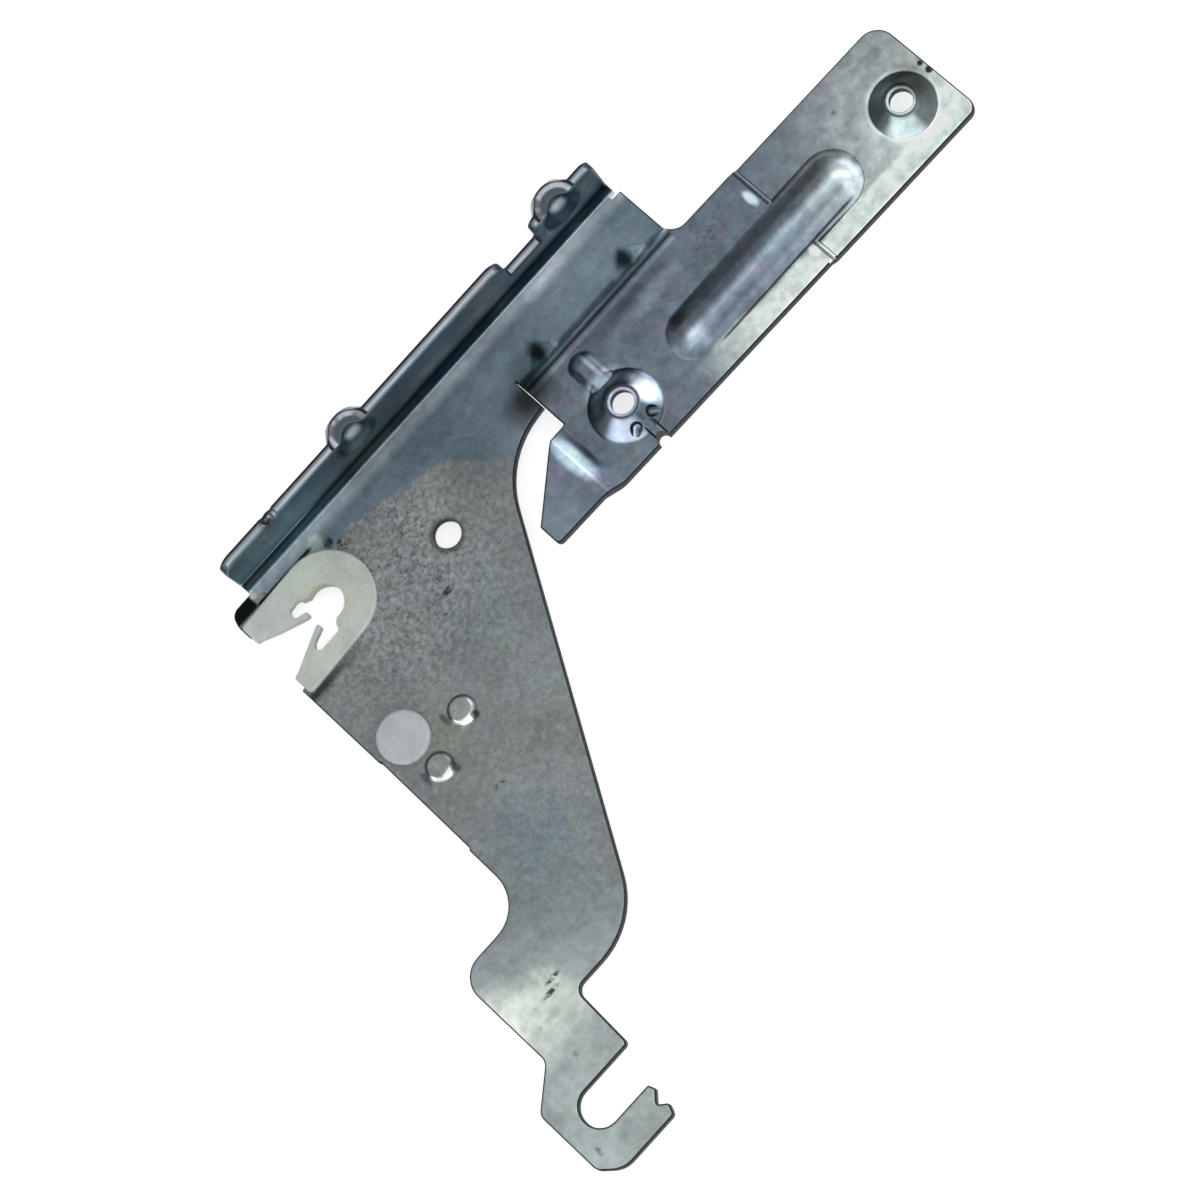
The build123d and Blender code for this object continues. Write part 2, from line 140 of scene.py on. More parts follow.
class Nodes:
    """Short calls that add and join the nodes of one material, group or world."""

    def __init__(self, tree):
        self.tree = tree
        tree.nodes.clear()

    def add(self, kind, values=None, **settings):
        """One node; values go into its inputs by name or number, as a constant or from another node."""
        made = self.tree.nodes.new(kind)
        for name, value in settings.items():
            setattr(made, name, value)
        for key, value in (values or {}).items():
            self.put(made.inputs[key], value)
        return made

    def put(self, socket, value):
        """Give a socket a constant or a link."""
        if isinstance(value, bpy.types.NodeSocket):
            self.tree.links.new(value, socket)
        elif isinstance(value, (tuple, Color)) and len(value) == 3 and len(socket.default_value) == 4:
            socket.default_value = (*value, 1.0)
        else:
            socket.default_value = value

    def math(self, operation, first, second=0.0, clamp=False):
        """A Math node's result."""
        values = {0: first, 1: second}
        return self.add("ShaderNodeMath", values, operation=operation, use_clamp=clamp).outputs[0]

    def plus(self, first, *others):
        """The sum of all values."""
        for other in others:
            first = self.math("ADD", first, other)
        return first

    def minus(self, first, second):
        """One value less another."""
        return self.math("SUBTRACT", first, second)

    def times(self, first, *others):
        """The product of all values, or where all masks are full."""
        for other in others:
            first = self.math("MULTIPLY", first, other)
        return first

    def most(self, first, *others):
        """The largest of all values, or where any mask is full."""
        for other in others:
            first = self.math("MAXIMUM", first, other)
        return first

    def outside(self, mask):
        """1 where a mask is 0, and 0 where it is 1."""
        return self.minus(1.0, mask)

    def vector(self, operation, *values):
        """A Vector Math node's result."""
        made = self.add("ShaderNodeVectorMath", dict(enumerate(values)), operation=operation)
        return made.outputs["Value" if operation in ("LENGTH", "DOT_PRODUCT") else "Vector"]

    def band(self, value, low, high, to_low=0.0, to_high=1.0):
        """A smooth step of a value between two marks."""
        made = self.add("ShaderNodeMapRange", interpolation_type="SMOOTHSTEP")
        for socket, number in zip(made.inputs, (value, low, high, to_low, to_high)):
            self.put(socket, number)
        return made.outputs[0]

    def window(self, value, low, high, soft):
        """1 between two marks and 0 outside them, with soft ends."""
        return self.times(self.band(value, low - soft, low + soft), self.band(value, high + soft, high - soft))

    def blend(self, factor, first, second):
        """A value between two others."""
        made = self.add("ShaderNodeMix", data_type="FLOAT")
        for socket, number in zip(made.inputs[0:1] + made.inputs[2:4], (factor, first, second)):
            self.put(socket, number)
        return made.outputs[0]

    def change(self, shade, mask, light):
        """A brightness multiplied by an amount of light where a mask is full."""
        return self.times(shade, self.band(mask, 0.0, 1.0, 1.0, light))

    def mix(self, factor, first, second, blend="MIX"):
        """Two colours mixed by a factor."""
        values = {"Factor": factor, 6: first, 7: second}
        return self.add("ShaderNodeMix", data_type="RGBA", blend_type=blend, values=values).outputs[2]

    def shaded(self, colour, shade):
        """A colour made lighter or darker by a brightness."""
        grey = self.add("ShaderNodeCombineColor", {0: shade, 1: shade, 2: shade}).outputs[0]
        return self.mix(1.0, colour, grey, "MULTIPLY")

    def noise(self, vector, scale, detail=2.0, roughness=0.5, distortion=0.0):
        """Soft noise in object space."""
        values = {
            "Vector": vector,
            "Scale": scale,
            "Detail": detail,
            "Roughness": roughness,
            "Distortion": distortion,
        }
        return self.add("ShaderNodeTexNoise", values).outputs["Fac"]

    def stretched(self, vector, scale, turn=0.0):
        """Coordinates turned about Z, then stretched."""
        turned = self.add("ShaderNodeMapping", {"Vector": vector, "Rotation": (0.0, 0.0, turn)})
        return self.add("ShaderNodeMapping", {"Vector": turned.outputs[0], "Scale": scale}).outputs[0]

    def split(self, vector):
        """The three parts of a vector."""
        return self.add("ShaderNodeSeparateXYZ", {"Vector": vector}).outputs

    def millimetres(self, where):
        """Object coordinates in millimetres, in which all patterns are drawn."""
        values = {0: where["Object"], "Scale": 1.0 / MM}
        return self.add("ShaderNodeVectorMath", values, operation="SCALE").outputs[0]

    def place(self, tree, **values):
        """A node group placed here with its own values."""
        return self.add("ShaderNodeGroup", node_tree=tree, values=values).outputs[0]

    def near(self, vector, centre, low, high, stretch=(1.0, 1.0, 1.0), inside=1.0, outside=0.0):
        """One value close to a point and another beyond the outer distance."""
        shift = tuple(-part * grow for part, grow in zip(centre, stretch))
        reach = {"Low": low, "High": high, "Inside": inside, "Outside": outside}
        return self.place(near_group(), Vector=vector, Stretch=stretch, Shift=shift, **reach)


def group(name, inputs, output, build):
    """A shader node group with one float output, built once; an input without a default is a vector."""
    if name in bpy.data.node_groups:
        return bpy.data.node_groups[name]
    tree = bpy.data.node_groups.new(name, "ShaderNodeTree")
    nodes = Nodes(tree)
    for label, default in inputs.items():
        kind = VECTOR if default is None else FLOAT
        socket = tree.interface.new_socket(label, in_out="INPUT", socket_type=kind)
        if default is not None:
            socket.default_value = default
    tree.interface.new_socket(output, in_out="OUTPUT", socket_type=FLOAT)
    result = build(nodes, nodes.add("NodeGroupInput").outputs)
    nodes.add("NodeGroupOutput", {output: result})
    return tree


def near_group():
    """One value near a point and another beyond an outer distance, stretched along each axis."""

    def build(nodes, given):
        grown = nodes.vector("MULTIPLY_ADD", given["Vector"], given["Stretch"], given["Shift"])
        length = nodes.vector("LENGTH", grown)
        return nodes.band(length, given["Low"], given["High"], given["Inside"], given["Outside"])

    vectors = {"Vector": None, "Stretch": None, "Shift": None}
    numbers = {"Low": 1.0, "High": 2.0, "Inside": 1.0, "Outside": 0.0}
    return group("Near Point", {**vectors, **numbers}, "Mask", build)


def mottle_group():
    """Cloudy light and dark patches at two sizes, as a value about 0.5."""

    def build(nodes, given):
        broad = nodes.noise(given["Vector"], given["Broad"], 3.0, 0.55)
        fine = nodes.noise(given["Vector"], given["Fine"], 4.0, 0.65)
        return nodes.plus(nodes.times(broad, 0.6), nodes.times(fine, 0.4))

    return group("Mottle", {"Vector": None, "Broad": 0.04, "Fine": 0.4}, "Value", build)


def speck_group():
    """Small irregular specks, thinned out by a broad noise."""

    def build(nodes, given):
        grain = nodes.noise(given["Vector"], given["Scale"], 3.0, 0.7)
        gate = nodes.noise(given["Vector"], 0.07, 1.0)
        level = nodes.plus(grain, nodes.times(nodes.minus(gate, 0.5), 0.35))
        return nodes.band(nodes.minus(level, given["Level"]), 0.0, 0.05)

    return group("Specks", {"Vector": None, "Scale": 0.5, "Level": 0.7}, "Mask", build)


def scratch_group():
    """Thin scratches in two directions."""

    def build(nodes, given):
        lines = []
        for turn, scale in ((0.5, (0.03, 2.2, 0.03)), (-0.9, (2.6, 0.045, 0.045))):
            thin = nodes.noise(nodes.stretched(given["Vector"], scale, turn), 1.0, 1.0, 0.4)
            gate = nodes.noise(given["Vector"], 0.06 + 0.025 * turn, 1.0)
            lines.append(nodes.times(nodes.band(thin, 0.69, 0.75), nodes.band(gate, 0.54, 0.64)))
        return nodes.times(nodes.math("ADD", *lines, clamp=True), given["Amount"])

    return group("Scratches", {"Vector": None, "Amount": 0.5}, "Mask", build)


def boss_group():
    """Light and shade round a pressed boss: bright wedges on a dark cone, inside a dark foot line."""

    def build(nodes, given):
        away = nodes.vector("SUBTRACT", given["Vector"], given["Centre"])
        flat = nodes.vector("MULTIPLY", away, (1.0, 1.0, 0.0))
        heading = nodes.vector("NORMALIZE", flat)
        wedges = []
        for name in ("First", "Second"):
            along = nodes.vector("DOT_PRODUCT", heading, given[name])
            wedges.append(nodes.band(along, 0.70, 0.98))
        bright = nodes.times(nodes.most(*wedges), given["Gain"])
        reach = nodes.math("DIVIDE", nodes.vector("LENGTH", flat), given["Radius"])
        shade = nodes.times(nodes.minus(bright, 0.55), nodes.band(reach, 1.02, 0.97))
        return nodes.change(nodes.plus(shade, 1.0), nodes.window(reach, 0.96, 1.04, 0.03), 0.5)

    inputs = {"Vector": None, "Centre": None, "First": None, "Second": None, "Radius": 8.0, "Gain": 2.6}
    return group("Boss Shade", inputs, "Value", build)


def material(name):
    """A new material, its nodes, its shader and its texture coordinates."""
    made = bpy.data.materials.new(name)
    made.use_nodes = True
    nodes = Nodes(made.node_tree)
    shader = nodes.add("ShaderNodeBsdfPrincipled")
    nodes.add("ShaderNodeOutputMaterial", {"Surface": shader.outputs[0]})
    return made, nodes, shader, nodes.add("ShaderNodeTexCoord").outputs


# Places on the part in millimetres: upper faces of the sheet, its pressed forms and the flange's two bosses
WEB_TOP, END_TOP, BRACKET_TOP = 2.2, 4.2, 5.2
LOW_BOSS, END_BOSS = (69.9, -20.2), (152.0, -20.7)
PIPS = ((2.8, -36.6), (-8.5, -41.2))
FLANGE_HOLES, FLANGE_HOLE_HEIGHT, FLANGE_TOP = (29.0, 90.7), 12.2, 16.0

# Stretches of a spot along X, Y and Z: round and through the sheet's thickness, or round and a little deep
THROUGH, DEEP = (1.0, 1.0, 0.3), (1.0, 1.0, 0.6)

# Pressed bosses: place, headings of the two bright wedges, radius, and brightness of the wedges
BOSSES = (
    ((*LOW_BOSS, BRACKET_TOP), (-0.66, -0.75, 0.0), (0.98, -0.20, 0.0), 7.9, 2.5),
    ((*END_BOSS, END_TOP), (-0.67, -0.75, 0.0), (-0.67, -0.75, 0.0), 7.1, 2.0),
    ((*PIPS[0], WEB_TOP), (-0.30, -0.95, 0.0), (-0.80, -0.60, 0.0), 3.2, 2.6),
    ((*PIPS[1], WEB_TOP), (-0.30, -0.95, 0.0), (-0.80, -0.60, 0.0), 3.2, 2.6),
)
# Share of a mark's reach that is fully dark, and of a spot's soft ring that is cut off at each end
MARK_CORE, SPOT_INSET = 0.35, 0.15
# Dark marks on the sheet: place in millimetres, radius, stretch along X, Y and Z, and strength; the two at
# (9.2, 8.6) and (10.9, 6.2) are painted shadow along the bearing's edge
MARKS = (
    ((18.4, -17.4, 2.2), 1.7, (0.8, 1.6, 0.3), 0.8),
    ((-23.8, -87.6, 2.2), 1.6, (0.6, 2.2, 0.3), 0.9),
    ((-26.0, -89.3, 2.2), 1.8, (0.6, 2.4, 0.3), 0.9),
    ((-3.0, -53.0, 2.2), 1.3, (0.7, 1.5, 0.3), 0.8),
    ((9.2, 8.6, 2.2), 1.6, (1.0, 0.9, 0.3), 0.9),
    ((10.9, 6.2, 2.2), 1.4, (1.5, 0.7, 0.3), 0.9),
    ((160.8, -19.6, 4.2), 0.9, (1.0, 0.9, 0.3), 1.0),
    ((160.6, -17.4, 4.2), 0.7, (1.0, 0.9, 0.3), 0.8),
    ((107.3, -8.2, 5.2), 0.9, (1.0, 1.2, 0.3), 0.5),
    ((141.8, -10.8, 4.2), 0.8, (1.0, 1.2, 0.3), 0.5),
    ((-42.0, -118.0, 2.2), 1.2, (1.6, 0.8, 0.3), 0.5),
    ((-31.5, -101.0, 2.2), 1.2, (1.6, 0.8, 0.3), 0.4),
)
# Soft shaded places: place in millimetres, inner and outer reach, stretch, and how much light is left
SHADED = (
    ((58.8, -2.8, 2.2), 0.5, 9.0, (0.8, 1.2, 0.3), 0.16),
    ((66.3, 2.4, 2.2), 0.4, 4.6, (1.5, 0.9, 0.2), 0.12),
    ((62.5, 3.0, 2.2), 0.3, 6.0, (0.8, 1.2, 0.2), 0.62),
    ((92.0, 2.0, 2.2), 0.4, 4.0, (1.2, 0.9, 0.2), 0.16),
    ((161.0, -19.7, 4.2), 0.4, 1.1, (0.8, 1.0, 0.3), 0.10),
    ((160.7, -17.3, 4.2), 0.3, 0.9, (1.0, 1.0, 0.3), 0.20),
    ((26.6, -9.3, 2.2), 3.1, 4.5, (1.0, 1.0, 0.3), 0.40),
    ((42.0, -4.0, 2.2), 3.0, 15.0, (1.0, 1.2, 0.3), 0.80),
    ((156.4, -18.6, 6.4), 0.5, 7.0, (1.0, 0.8, 1.2), 0.40),
    ((136.6, -17.6, 6.6), 0.4, 3.6, (1.4, 0.8, 1.6), 0.45),
    ((89.6, -16.2, 6.6), 0.4, 3.8, (0.9, 1.2, 1.6), 0.40),
    ((67.9, -9.0, 5.6), 0.8, 4.6, (3.4, 1.0, 0.3), 0.16),
    ((36.0, 6.5, 2.2), 2.0, 20.0, (1.0, 5.0, 0.3), 0.78),
    ((62.0, -7.0, 5.2), 0.4, 5.0, (1.0, 1.0, 0.3), 0.80),
    ((57.6, -20.0, 5.2), 0.4, 9.0, (6.0, 1.0, 0.3), 0.45),
    ((29.0, 14.5, 12.2), 5.4, 6.0, (1.0, 0.6, 1.0), 0.90),
    ((90.7, 14.5, 12.2), 5.4, 6.0, (1.0, 0.6, 1.0), 0.90),
    ((88.0, -5.4, 5.2), 0.6, 13.0, (1.0, 9.0, 0.3), 0.75),
    ((3.9, -39.3, 2.5), 0.4, 1.4, (0.9, 1.1, 0.3), 0.14),
    ((-6.4, -43.4, 2.5), 0.3, 1.6, (1.2, 0.7, 0.3), 0.22),
    ((-1.0, -35.2, 2.5), 0.3, 1.5, (1.4, 0.6, 0.3), 0.45),
    ((-12.2, -40.6, 2.5), 0.3, 1.5, (1.4, 0.6, 0.3), 0.45),
    ((110.0, -12.0, 5.2), 3.0, 16.0, (1.0, 3.2, 0.3), 0.85),
    ((82.0, -4.6, 5.2), 6.0, 24.0, (1.0, 5.0, 0.3), 0.72),
)
# Soft bright places: place in millimetres, inner and outer reach, stretch, and how much is added
LIT = (
    ((69.9, 0.8, 2.2), 0.2, 2.4, (2.6, 1.0, 0.2), 0.9),
    ((70.0, -13.6, 6.4), 1.5, 6.5, (0.9, 1.9, 0.3), 1.5),
    ((152.0, -14.8, 5.6), 1.5, 6.0, (0.9, 1.9, 0.3), 0.5),
    ((71.2, -5.2, 6.0), 0.4, 2.2, (1.0, 1.6, 0.3), 0.5),
    ((2.2, -39.0, 2.9), 0.5, 3.0, (1.0, 2.6, 0.3), 1.3),
    ((5.3, -37.0, 2.9), 0.2, 1.6, (2.0, 0.8, 0.3), 0.9),
    ((-7.8, -43.5, 2.9), 0.5, 3.0, (1.0, 2.6, 0.3), 1.3),
    ((-11.2, -41.6, 2.9), 0.2, 1.6, (2.0, 0.8, 0.3), 0.9),
    ((2.8, -36.4, 2.9), 1.5, 2.8, (1.0, 1.0, 0.3), 0.25),
    ((-8.5, -41.0, 2.9), 1.5, 2.8, (1.0, 1.0, 0.3), 0.25),
    ((7.3, 10.8, 2.2), 0.3, 2.8, (1.0, 1.0, 0.3), 1.0),
    ((95.8, -0.4, 2.2), 0.2, 1.9, (1.0, 1.0, 0.2), 1.1),
    ((88.2, 0.2, 2.2), 0.2, 1.7, (1.0, 1.0, 0.2), 0.8),
    ((71.2, -9.0, 6.4), 0.2, 4.8, (5.0, 1.0, 0.2), 1.6),
    ((117.8, -10.2, 5.2), 0.5, 3.2, (2.1, 1.0, 0.3), 3.6),
    ((74.4, -21.6, 7.0), 1.2, 3.8, (1.0, 0.9, 1.4), 1.1),
    ((65.6, -15.4, 7.2), 0.8, 4.6, (0.8, 1.2, 2.4), 2.2),
    ((74.6, -15.6, 7.2), 0.8, 4.6, (0.8, 1.2, 2.4), 2.8),
    ((85.0, 8.0, 2.2), 3.0, 24.0, (0.8, 1.8, 0.3), 0.30),
    ((152.0, -20.7, 7.2), 2.5, 4.3, (1.0, 1.0, 0.3), 0.9),
    ((69.9, -20.2, 8.6), 2.5, 4.3, (1.0, 1.0, 0.3), 0.5),
    ((118.2, -27.4, 5.2), 0.3, 2.4, (1.6, 1.0, 0.3), 1.0),
    ((134.2, -21.2, 5.8), 0.8, 5.2, (1.3, 1.0, 0.3), 1.0),
    ((89.5, -22.4, 6.4), 0.4, 4.0, (1.0, 1.0, 0.3), 0.9),
    ((54.9, -20.5, 6.6), 2.0, 9.5, (2.9, 1.0, 0.3), 2.9),
    ((88.0, -8.2, 5.2), 1.0, 13.0, (0.8, 4.4, 0.3), 0.45),
)


class ZincSheet:
    """Zinc-plated sheet: mottled plating, dried spray, marks and scratches, with painted highlights, painted
    reflections and painted shade on its flange, edges and pressed forms.

    The numbers in its masks are places on the part, in millimetres from its origin, or parts of a normal.
    """

    def __init__(self, finish):
        self.finish = finish
        self.material, self.nodes, self.shader, where = material("Zinc Sheet")
        nodes = self.nodes
        self.at, self.facing = nodes.millimetres(where), nodes.split(where["Normal"])
        self.x, self.y, self.z = nodes.split(self.at)
        self.rise = nodes.math("ABSOLUTE", self.facing[2])
        self.on_top = nodes.band(self.facing[2], 0.2, 0.4)
        self.mottle = nodes.place(mottle_group(), Vector=self.at, Broad=0.06, Fine=0.62)
        self.wander = nodes.minus(nodes.noise(self.at, 0.10, 3.0, 0.65, 0.4), 0.5)
        self.ragged = nodes.minus(nodes.noise(self.at, 0.45, 3.0, 0.65), 0.5)
        self.crumbs = nodes.band(nodes.noise(self.at, 1.1, 2.0, 0.6), 0.36, 0.52)

        base = self.plating()
        base = self.flange(base)
        base = self.spray_and_grease(base)
        base = self.tints(base)
        shade = self.spots(self.clouds())
        shade = self.bosses(self.folds(shade))
        base = nodes.shaded(base, shade)
        self.dirt = self.grime()
        # dark specks and grime, and painted shadow along the bearing's edges
        base = nodes.mix(self.dirt, base, finish.dirt_and_shadow_colour)
        self.scratches = nodes.place(scratch_group(), Vector=self.at, Amount=finish.scratch_amount)
        # scratches take the colour of the bracket's painted highlight
        base = nodes.mix(self.scratches, base, finish.highlight_and_scratch_colour)
        base = self.flange_rim(self.shade_cut_edges(base))
        nodes.put(self.shader.inputs["Base Color"], base)
        self.sheen()
        self.relief()

    def near(self, centre, low, high, stretch=(1.0, 1.0, 1.0), inside=1.0, outside=0.0):
        """One value close to a place on the sheet and another beyond the outer distance."""
        return self.nodes.near(self.at, centre, low, high, stretch, inside, outside)

    def specks(self, scale, level):
        """Specks of one size; a higher level leaves fewer."""
        return self.nodes.place(speck_group(), Vector=self.at, Scale=scale, Level=level)

    def plating(self):
        """Plating colours from the flange down to the hook and along the bracket, with painted light: paler
        towards the hook, a painted highlight across the arm's turn and painted highlights on the bracket's
        lower strip, far part and end.
        """
        nodes, finish, x, y = self.nodes, self.finish, self.x, self.y
        base = nodes.mix(nodes.band(y, 2.0, -50.0), finish.web_colour, finish.arm_colour)
        wavy = nodes.times(nodes.plus(self.wander, self.ragged), 7.0)
        self.to_hook = nodes.plus(nodes.times(x, 0.62), nodes.times(y, 0.78), wavy)
        # painted light: paler towards the hook
        base = nodes.mix(nodes.band(self.to_hook, -62.0, -92.0), base, finish.hook_highlight_colour)
        # painted highlight across the arm's turn
        pale = nodes.times(
            nodes.band(self.to_hook, -79.0, -89.0), nodes.band(y, -103.0, -89.0), nodes.band(x, -19.0, -24.0)
        )
        base = nodes.mix(pale, base, finish.pale_highlight_colour)
        self.on_bracket = nodes.times(nodes.band(y, -2.4, -3.0), nodes.band(x, 38.0, 58.5))
        base = nodes.mix(self.on_bracket, base, finish.bracket_colour)

        # painted highlights: a pale strip along the bracket's lower edge, its far part and its end
        lower = nodes.plus(nodes.minus(nodes.times(x, -0.018), y), nodes.times(self.wander, 2.5))
        strip_highlight = nodes.times(nodes.band(lower, 23.6, 25.4), nodes.band(x, 80.0, 103.0))
        far = nodes.times(nodes.band(x, 112.0, 160.0), nodes.band(lower, -14.0, 30.0), 0.90)
        end = nodes.times(nodes.band(x, 154.0, 160.0), nodes.band(lower, 12.0, 20.0))
        self.on_end_boss = self.near((*END_BOSS, BRACKET_TOP), 6.4, 7.4, (1.0, 1.0, 0.2))
        self.bracket_highlight = nodes.times(nodes.most(far, strip_highlight, end), nodes.outside(self.on_end_boss))
        base = nodes.mix(self.bracket_highlight, base, finish.highlight_and_scratch_colour)
        return nodes.mix(self.on_end_boss, base, finish.end_boss_colour)

    def flange(self, base):
        """Painted light on the flange: a painted highlight along its bend, painted shade on its inner face
        with painted reflections near the bearing and the top, and painted shade with a painted glint in the
        hollows of its bosses.
        """
        nodes, finish, x, y, z = self.nodes, self.finish, self.x, self.y, self.z
        # painted highlight: pale band along the flange's bend
        root = nodes.times(nodes.band(y, 9.8, 13.9), nodes.band(y, 14.4, 14.0), nodes.band(z, 4.0, 3.0), 0.85)
        base = nodes.mix(root, base, finish.bend_highlight_colour)
        # painted shade on the flange's inner face, with painted reflections lighter near the bearing and
        # towards the top
        in_flange = nodes.band(y, 14.0, 14.3)
        inner = nodes.times(in_flange, nodes.band(self.facing[1], 0.3, 0.1))
        inner_face_shade = nodes.mix(nodes.band(x, 8.0, 26.0), finish.flange_reflection_colour, finish.flange_shade_colour)
        inner_face_shade = nodes.mix(nodes.band(z, 10.0, 15.5, 0.0, 0.6), inner_face_shade, finish.flange_reflection_colour)
        base = nodes.mix(inner, base, inner_face_shade)
        # painted reflection of the bearing: a white line on the flange's inner face
        self.shine = nodes.times(
            nodes.window(z, 4.3, 4.8, 0.2), nodes.band(x, 16.0, 6.0), inner, nodes.band(y, 14.6, 14.9)
        )
        base = nodes.mix(self.shine, base, WHITE)

        # painted shade in the hollows of the flange's bosses, with a painted glint in each
        hollows = []
        open_side = nodes.times(nodes.band(z, 15.6, 15.0), in_flange, nodes.band(self.facing[1], 0.6, 0.4))
        for middle in FLANGE_HOLES:
            hollow = self.near((middle, 15.6, FLANGE_HOLE_HEIGHT), 5.0, 5.9, (1.0, 0.8, 1.0))
            hollow = nodes.times(hollow, open_side)
            hollows.append(hollow)
            base = nodes.mix(hollow, base, finish.flange_shade_colour)
            glint = self.near((middle + 0.4, 18.3, 9.3), 0.2, 1.6, (0.55, 0.8, 1.0))
            base = nodes.mix(nodes.times(glint, hollow, 0.75), base, finish.rim_highlight_colour)
        self.in_hollow = nodes.most(*hollows)
        return base

    def spray_and_grease(self, base):
        """Dried spray over the arm's root, and smears of grease."""
        nodes, finish, x, y = self.nodes, self.finish, self.x, self.y
        beyond = nodes.times(nodes.most(nodes.minus(x, 37.0), 0.0), 0.9)
        uneven = nodes.plus(nodes.times(self.wander, 7.0), nodes.times(self.ragged, 4.0))
        edge = nodes.plus(y, nodes.times(x, 0.22), beyond, uneven)
        self.film = nodes.times(
            nodes.band(edge, 11.2, 9.6),
            nodes.band(self.z, 3.6, 3.0),
            nodes.band(self.to_hook, -92.0, -56.0),
            nodes.band(x, 58.6, 58.2),
        )
        base = nodes.mix(nodes.times(self.film, 0.9), base, finish.stain_colour)
        grease = nodes.most(
            self.near((7.4, 10.8, WEB_TOP), 0.8, 3.4, (0.8, 1.0, 0.3)),
            self.near((-3.4, -37.0, WEB_TOP), 2.0, 8.0, (1.1, 1.0, 0.3)),
        )
        smear = nodes.band(self.ragged, -0.10, 0.06)
        return nodes.mix(nodes.times(grease, smear, 0.6), base, finish.grease_colour)

    def tints(self, base):
        """Faint blue, lilac and green patches of the plating."""
        nodes, finish = self.nodes, self.finish
        blue = nodes.most(
            self.near((-6.0, -66.0, WEB_TOP), 4.0, 17.0, (1.0, 1.1, 0.3)),
            nodes.times(self.near((20.0, -30.0, WEB_TOP), 3.0, 16.0, (1.0, 0.6, 0.3)), 0.4),
        )
        blue = nodes.times(blue, nodes.band(self.wander, -0.16, 0.16, 0.25, 0.75))
        base = nodes.mix(blue, base, finish.web_colour)
        lilac = nodes.times(
            nodes.band(nodes.noise(self.at, 0.16, 2.0, 0.6), 0.50, 0.66),
            nodes.band(self.on_bracket, 0.0, 1.0, 0.14, 0.40),
            nodes.band(self.bracket_highlight, 0.0, 1.0, 1.0, 0.2),
        )
        base = nodes.mix(lilac, base, finish.tint_colour)
        streaks = nodes.noise(nodes.stretched(self.at, (0.05, 0.22, 0.1)), 1.0, 2.0, 0.6)
        return nodes.mix(nodes.times(nodes.band(streaks, 0.52, 0.68), 0.22), base, finish.green_colour)

    def clouds(self):
        """Cloudy light and dark of the plating, and the grain of the dried spray."""
        nodes = self.nodes
        shade = nodes.band(self.mottle, 0.30, 0.70, 0.82, 1.18)
        shade = nodes.times(shade, nodes.band(self.ragged, -0.2, 0.2, 0.93, 1.07))
        cloud = nodes.band(nodes.noise(self.at, 0.27, 3.0, 0.65, 0.6), 0.32, 0.68, -1.0, 1.0)
        cloud = nodes.times(cloud, nodes.band(self.on_bracket, 0.0, 1.0, 0.07, 0.15))
        by_bearing = self.near((10.0, -2.0, WEB_TOP), 8.0, 42.0, THROUGH)
        self.grain = nodes.times(self.film, nodes.band(by_bearing, 0.0, 1.0, 0.35, 0.9))
        rough = nodes.band(nodes.noise(self.at, 0.85, 4.0, 0.75), 0.30, 0.70, -0.50, 0.50)
        return nodes.times(shade, nodes.plus(cloud, 1.0), nodes.plus(nodes.times(self.grain, rough), 1.0))

    def spots(self, shade):
        """The soft shaded and bright places of the two lists, on faces that look up."""
        nodes = self.nodes
        lit = [(*spot, 1.0 + more) for *spot, more in LIT]
        spots = 1.0
        for centre, low, high, stretch, light in (*SHADED, *lit):
            inset = SPOT_INSET * (high - low)
            spots = nodes.times(spots, self.near(centre, low + inset, high - inset, stretch, light, 1.0))
        return nodes.times(shade, nodes.blend(self.on_top, 1.0, spots))

    def folds(self, shade):
        """Light and shade along the flange's bend, the bracket's step and drop, and the long bead."""
        nodes, x, y = self.nodes, self.x, self.y
        bend = nodes.times(nodes.window(y, 14.5, 16.6, 0.25), nodes.window(self.z, 2.0, 4.6, 0.3))
        on_step = nodes.window(x, 59.0, 102.0, 0.3)
        slope = nodes.times(nodes.window(y, -1.8, 5.0, 0.3), nodes.band(self.rise, 0.985, 0.93), self.on_top)
        step_line, below_step = nodes.window(y, -2.75, -2.15, 0.2), nodes.window(y, -4.0, -3.2, 0.35)
        off_bead = nodes.most(nodes.band(y, -14.2, -13.6), nodes.band(y, -26.0, -26.6))
        drop_line = nodes.times(nodes.window(x, 119.0, 119.7, 0.2), off_bead)
        on_bead = nodes.times(nodes.window(x, 88.0, 133.0, 2.0), self.on_top)
        crest, flank = nodes.window(y, -21.4, -19.9, 0.9), nodes.window(y, -17.9, -15.3, 0.8)
        bead_foot = nodes.times(nodes.window(y, -26.4, -25.9, 0.2), nodes.window(x, 93.0, 131.0, 2.0))
        changes = (
            (nodes.minus(bend, self.shine), 0.30),
            (nodes.times(slope, on_step), 2.9),
            (nodes.times(step_line, on_step), 0.30),
            (nodes.times(below_step, on_step), 1.6),
            (drop_line, 0.30),
            (nodes.times(crest, on_bead), 1.7),
            (nodes.times(flank, on_bead), 0.65),
            (bead_foot, 0.18),
        )
        for mask, light in changes:
            shade = nodes.change(shade, mask, light)
        return shade

